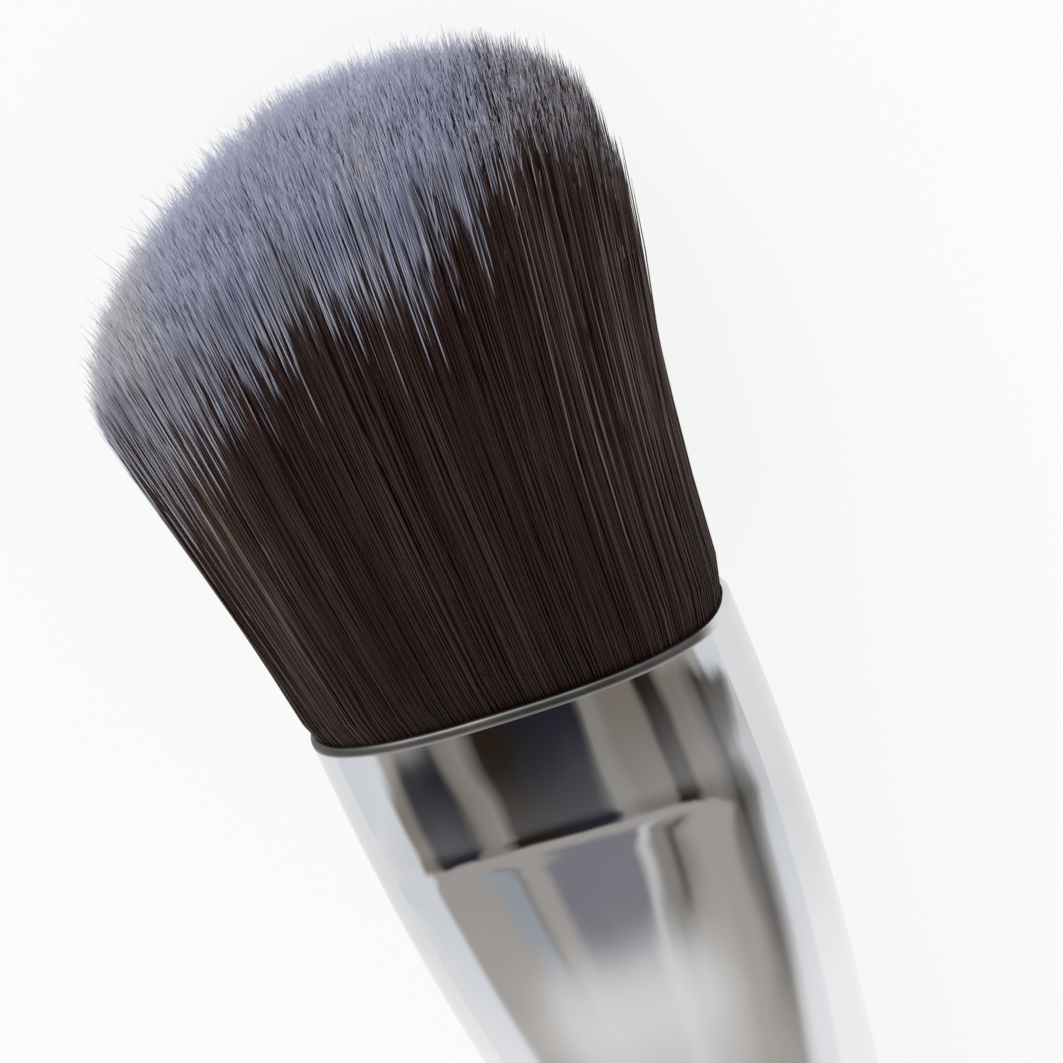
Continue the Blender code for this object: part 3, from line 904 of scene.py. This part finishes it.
# What metal that faces straight up mirrors: the dark ceiling with one pale lamp panel
OVERHEAD_BARS = [
    (-78, WHITE), (-55, DIM), (-18, DIM), (-11, CREAM), (4, CREAM), (11, DIM), (55, DIM), (78, WHITE),
]

# Angles round the brush, in degrees
RISE_MIDDLE = 15.0
SHORT_EDGE_WALL = (51.0, 57.0)
LONG_EDGE_WALL = (-54.0, -62.0)
FAR_SIDE = 24.0
# Where along the brush a part of the room sets in and is full, as the X of the mirrored direction
LAND_PALER = (-0.408, -0.450)
LAND_FLANK = (-0.440, -0.480)
LAND_WHITE = (-0.510, -0.560)
RISE_EDGE = (-0.399, -0.389)
RISE_FRAME = (-0.366, -0.382)
RISE_GLARE = (-0.322, -0.290)
OVERHEAD_EDGE = (-0.24, -0.18)
OVERHEAD_PALER = (-0.04, 0.16)
# How much those edges bow for each degree away from the middle, or past FAR_SIDE
EDGE_BOW = 0.0003
FAR_BOW = 0.0002
GLARE_BOW = 0.0010
# Share of MIST past LAND_PALER
LAND_PALER_SHARE = 0.30
# The land's bars run outwards beside the opening, by so many degrees along the brush
LAND_DRIFT = 500.0
LAND_DRIFT_START = 205.0
LAND_DRIFT_SIDE = (-48.0, -66.0)
# The rising face's bars are squeezed together, up to SQUEEZE_END
SQUEEZE = 13.0
SQUEEZE_END = -0.385
# The metal isn't quite even, so the mirrored room swings round and slides along the brush,
# and swings less by a share CALM beside the opening
RIPPLE_SCALE = 6.0
RIPPLE_STRETCH = (7.0, 1.0, 1.0)
RIPPLE_SWING = 6.4
RIPPLE_SLIDE = 0.010
CALM_SIDES = (36.0, 50.0)
CALM = 0.8
# Share of the white surroundings that soft light goes without
DIFFUSE_DIMMING = 0.36


def bars(graph, place, stops):
    """Colours by the angle round the brush."""
    share = graph.math("MULTIPLY_ADD", place, 1.0 / 360.0, 0.5)
    return graph.ramp(share, [((degrees + 180.0) / 360.0, colour) for degrees, colour in stops])


def ripple(graph, direction):
    """Two uneven values from 0 to 1, which change fastest along the brush."""
    stretch = graph.node("ShaderNodeMapping")
    stretch.inputs["Scale"].default_value = RIPPLE_STRETCH
    graph.link(direction, stretch.inputs["Vector"])
    noise = graph.node("ShaderNodeTexNoise")
    noise.inputs["Scale"].default_value = RIPPLE_SCALE
    noise.inputs["Detail"].default_value = 1.0
    graph.link(stretch.outputs[0], noise.inputs["Vector"])
    split = graph.node("ShaderNodeSeparateXYZ")
    graph.link(noise.outputs["Color"], split.inputs[0])
    return split.outputs[0], split.outputs[1]


def mirrored_land(graph, around, along):
    """What the pressed land behind the mouth mirrors: window bars, then paler ones, then white."""
    drift = graph.math("MULTIPLY_ADD", along, LAND_DRIFT, LAND_DRIFT_START)
    drift = graph.math("MULTIPLY", drift, graph.step(around, *LAND_DRIFT_SIDE))
    land = bars(graph, graph.math("ADD", around, drift), LAND_BARS)
    paler = graph.math("MULTIPLY", graph.step(along, *LAND_PALER), LAND_PALER_SHARE)
    land = graph.blend(paler, land, MIST)
    land = graph.blend(graph.step(along, *LAND_FLANK), land, bars(graph, around, FLANK_BARS))
    return graph.blend(graph.step(along, *LAND_WHITE), land, PALE)


def mirrored_rise(graph, around, along, aside):
    """What the rising face mirrors: bars under a frame line, white walls beside them, then glare."""
    squeeze = graph.math("MULTIPLY_ADD", along, SQUEEZE, -SQUEEZE * SQUEEZE_END)
    off_middle = graph.math("SUBTRACT", around, RISE_MIDDLE)
    outward = graph.math("MULTIPLY", off_middle, graph.math("MAXIMUM", squeeze, 0.0))
    rise = bars(graph, graph.math("ADD", around, outward), RISE_BARS)
    frame_line = graph.math("MULTIPLY_ADD", aside, EDGE_BOW, along)
    rise = graph.blend(graph.step(frame_line, *RISE_FRAME), rise, CREAM)
    walls = [graph.step(around, *wall) for wall in (SHORT_EDGE_WALL, LONG_EDGE_WALL)]
    rise = graph.blend(graph.math("MAXIMUM", *walls), rise, PALE)
    glare_line = graph.math("MULTIPLY_ADD", aside, GLARE_BOW, along)
    return graph.blend(graph.step(glare_line, *RISE_GLARE), rise, GLARE)


def studio_surroundings():
    """White all round for the camera and for soft light; what the metal mirrors has the room's
    dark opening, its window bars and white sides, by direction round and along the brush."""
    world = bpy.data.worlds.new("studio")
    world.use_nodes = True
    bpy.context.scene.world = world
    world.cycles.sampling_method = "NONE"
    graph = Graph(world.node_tree)
    direction = graph.node("ShaderNodeTexCoord").outputs["Generated"]
    split = graph.node("ShaderNodeSeparateXYZ")
    graph.link(direction, split.inputs[0])
    swing, slide = ripple(graph, direction)
    around = graph.math("ARCTAN2", split.outputs[1], split.outputs[2])
    around = graph.math("MULTIPLY", around, math.degrees(1.0))
    off_middle = graph.math("ABSOLUTE", graph.math("SUBTRACT", around, RISE_MIDDLE))
    calm = graph.math("MULTIPLY_ADD", graph.step(off_middle, *CALM_SIDES), -CALM, 1.0)
    swing = graph.math("MULTIPLY_ADD", swing, RIPPLE_SWING, -RIPPLE_SWING / 2)
    around = graph.math("ADD", around, graph.math("MULTIPLY", swing, calm))
    slide = graph.math("MULTIPLY_ADD", slide, RIPPLE_SLIDE, -RIPPLE_SLIDE / 2)
    along = graph.math("ADD", split.outputs[0], slide)
    aside = graph.math("ABSOLUTE", graph.math("SUBTRACT", around, RISE_MIDDLE))
    far_side = graph.math("MAXIMUM", graph.math("ADD", around, -FAR_SIDE), 0.0)
    edge_line = graph.math("MULTIPLY_ADD", far_side, FAR_BOW, along)
    edge_line = graph.math("MULTIPLY_ADD", aside, EDGE_BOW, edge_line)
    land = mirrored_land(graph, around, along)
    rise = mirrored_rise(graph, around, along, aside)
    mirrored = graph.blend(graph.step(edge_line, *RISE_EDGE), land, rise)
    overhead = bars(graph, around, OVERHEAD_BARS)
    overhead = graph.blend(graph.step(along, *OVERHEAD_PALER), overhead, MIST)
    mirrored = graph.blend(graph.step(along, *OVERHEAD_EDGE), mirrored, overhead)
    rays = graph.node("ShaderNodeLightPath")
    background = graph.node("ShaderNodeBackground")
    seen = graph.blend(rays.outputs["Is Glossy Ray"], WHITE, mirrored)
    graph.link(seen, background.inputs[0])
    dimmed = graph.math("MULTIPLY_ADD", rays.outputs["Is Diffuse Ray"], -DIFFUSE_DIMMING, 1.0)
    graph.link(dimmed, background.inputs[1])
    output = graph.node("ShaderNodeOutputWorld")
    graph.link(background.outputs[0], output.inputs[0])


def build_table():
    """A wide white table top just under the brush."""
    half = TABLE_HALF_WIDTH
    height = TABLE_HEIGHT - TABLE_CLEARANCE
    mesh = bpy.data.meshes.new("table")
    corners = [(-half, -half), (half, -half), (half, half), (-half, half)]
    mesh.from_pydata([(x, y, height) for x, y in corners], [], [(0, 1, 2, 3)])
    table = bpy.data.objects.new("table", mesh)
    bpy.context.scene.collection.objects.link(table)
    made = bpy.data.materials.new("white_table")
    made.use_nodes = True
    graph = Graph(made.node_tree)
    output = graph.node("ShaderNodeOutputMaterial")
    surface = graph.node("ShaderNodeBsdfDiffuse")
    surface.inputs[0].default_value = (TABLE_GREY, TABLE_GREY, TABLE_GREY, 1.0)
    glow = graph.node("ShaderNodeEmission")
    glow.inputs[0].default_value = (1.0, 1.0, 1.0, 1.0)
    rays = graph.node("ShaderNodeLightPath")
    both = graph.node("ShaderNodeMixShader")
    seen = graph.math("MAXIMUM", rays.outputs["Is Camera Ray"], rays.outputs["Is Glossy Ray"])
    graph.link(graph.math("MULTIPLY", seen, TABLE_GLOW), both.inputs[0])
    graph.link(surface.outputs[0], both.inputs[1])
    graph.link(glow.outputs[0], both.inputs[2])
    graph.link(both.outputs[0], output.inputs[0])
    mesh.materials.append(made)


def view_turn():
    """The turn from the camera's axes to the row frame."""
    tilt, lean, roll = VIEW_TILT, VIEW_LEAN, VIEW_ROLL
    along = Vector((-math.sin(lean) * math.cos(tilt), math.cos(lean) * math.cos(tilt), math.sin(tilt)))
    level = Vector((math.cos(lean), math.sin(lean), 0.0))
    facing = Vector((math.sin(tilt) * math.sin(lean), -math.sin(tilt) * math.cos(lean), math.cos(tilt)))
    right = level * math.cos(roll) + facing * math.sin(roll)
    face = -level * math.sin(roll) + facing * math.cos(roll)
    return Matrix((along, -right, face))


def build_key():
    """A broad soft lamp, high on the brush's left as the camera sees it."""
    data = bpy.data.lights.new("key", "SUN")
    data.energy = KEY_STRENGTH
    data.angle = KEY_SPREAD
    key = bpy.data.objects.new("key", data)
    towards = view_turn() @ Vector(KEY_PLACE)
    key.rotation_euler = towards.to_track_quat("Z", "Y").to_euler()
    bpy.context.scene.collection.objects.link(key)


def build_camera():
    """A camera placed so that the brush lies in the frame as measured."""
    turn = view_turn()
    middle = FRAME_PIXELS / 2
    mouth = Vector((
        (MOUTH_PIXEL[0] - middle) / PIXELS_PER_METRE,
        -(MOUTH_PIXEL[1] - middle) / PIXELS_PER_METRE,
        -VIEW_DISTANCE,
    ))
    data = bpy.data.cameras.new("camera")
    data.sensor_width = SENSOR_WIDTH
    data.lens = PIXELS_PER_METRE * VIEW_DISTANCE / FRAME_PIXELS * SENSOR_WIDTH
    data.clip_start = NEAR_CLIP
    camera = bpy.data.objects.new("camera", data)
    camera.matrix_world = Matrix.Translation(MOUTH - turn @ mouth) @ turn.to_4x4()
    bpy.context.scene.collection.objects.link(camera)
    bpy.context.scene.camera = camera


def build_brush():
    """The dressed pieces, attached to the root body in place of the hidden solids, and the materials of
    the solids that stay.
    """
    filament = filament_material()
    metal = chrome_material()
    lacquer = lacquer_material()
    ferrule = build_ferrule(metal)
    handle = build_handle(lacquer)
    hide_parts("ferrule")
    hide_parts("handle")
    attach(ferrule, "root")
    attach(handle, "root")
    for piece in build_tuft(filament):
        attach(piece, "root")
    resin = cured_material("epoxy_resin", (0.42, 0.30, 0.14), (0.60, 0.46, 0.25), 0.3)
    glue = cured_material("adhesive", (0.62, 0.56, 0.42), (0.78, 0.72, 0.57), 0.45)
    set_material(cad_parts["root_plug"], resin)
    set_material(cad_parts["tenon_glue"], glue)


build_camera()
build_key()
studio_surroundings()
build_table()
build_brush()
bpy.context.scene.view_settings.view_transform = "Standard"
